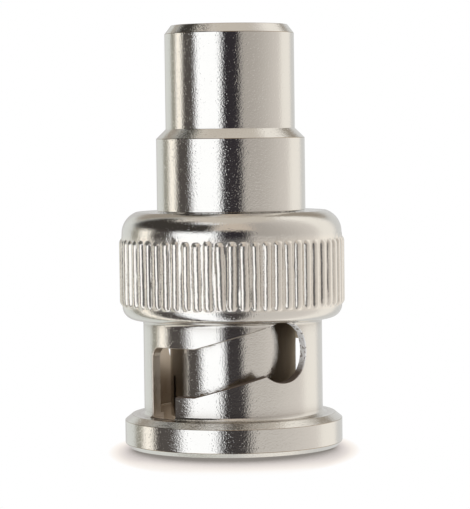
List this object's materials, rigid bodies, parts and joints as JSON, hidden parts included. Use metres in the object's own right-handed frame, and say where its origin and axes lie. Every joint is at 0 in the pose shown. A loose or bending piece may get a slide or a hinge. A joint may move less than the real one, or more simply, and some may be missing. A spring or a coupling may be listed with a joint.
{
  "type": "bnc to rca adapter",
  "caption": "Straight coaxial adapter: bayonet plug with a knurled turning coupling sleeve at one end, plain phono jack sleeve at the other.",
  "frame": {"origin": "centre of the coupling sleeve's front face, on the axis", "axes": "+Z along the axis from the bayonet end to the mouth of the jack; -Y faces the picture's camera"},
  "size_m": [0.0144, 0.0144, 0.027],
  "materials": {
    "nickel_plating": "bright nickel plating on turned brass",
    "contact_plating": "bright nickel plating on spring brass",
    "spring_steel": "plain rolled spring strip",
    "gasket_rubber": "moulded rubber",
    "white_dielectric": "turned white dielectric",
    "gold_flash": "thin gold plating on brass"
  },
  "bodies": {
    "body": {"rca_shell": "nickel_plating", "bnc_body": "nickel_plating", "outer_contact": "contact_plating", "wave_washer": "spring_steel", "face_gasket": "gasket_rubber", "front_insulator": "white_dielectric", "center_pin": "gold_flash", "rear_insulator": "white_dielectric", "socket_contact": "gold_flash"},
    "washer": {"thrust_washer": "spring_steel"},
    "sleeve": {"coupling_sleeve": "nickel_plating"}
  },
  "joints": [
    {"name": "sleeve_draw", "type": "slide", "parent": "body", "child": "washer", "axis": [0, 0, -1], "range_m": [0, 0.00045], "stiffness_N_per_m": 20000, "springref_m": -0.0003, "deforming": ["wave_washer"]},
    {"name": "sleeve_turn", "type": "hinge", "parent": "washer", "child": "sleeve", "pos_m": [0, 0, 0], "axis": [0, 0, 1], "continuous": true}
  ]
}
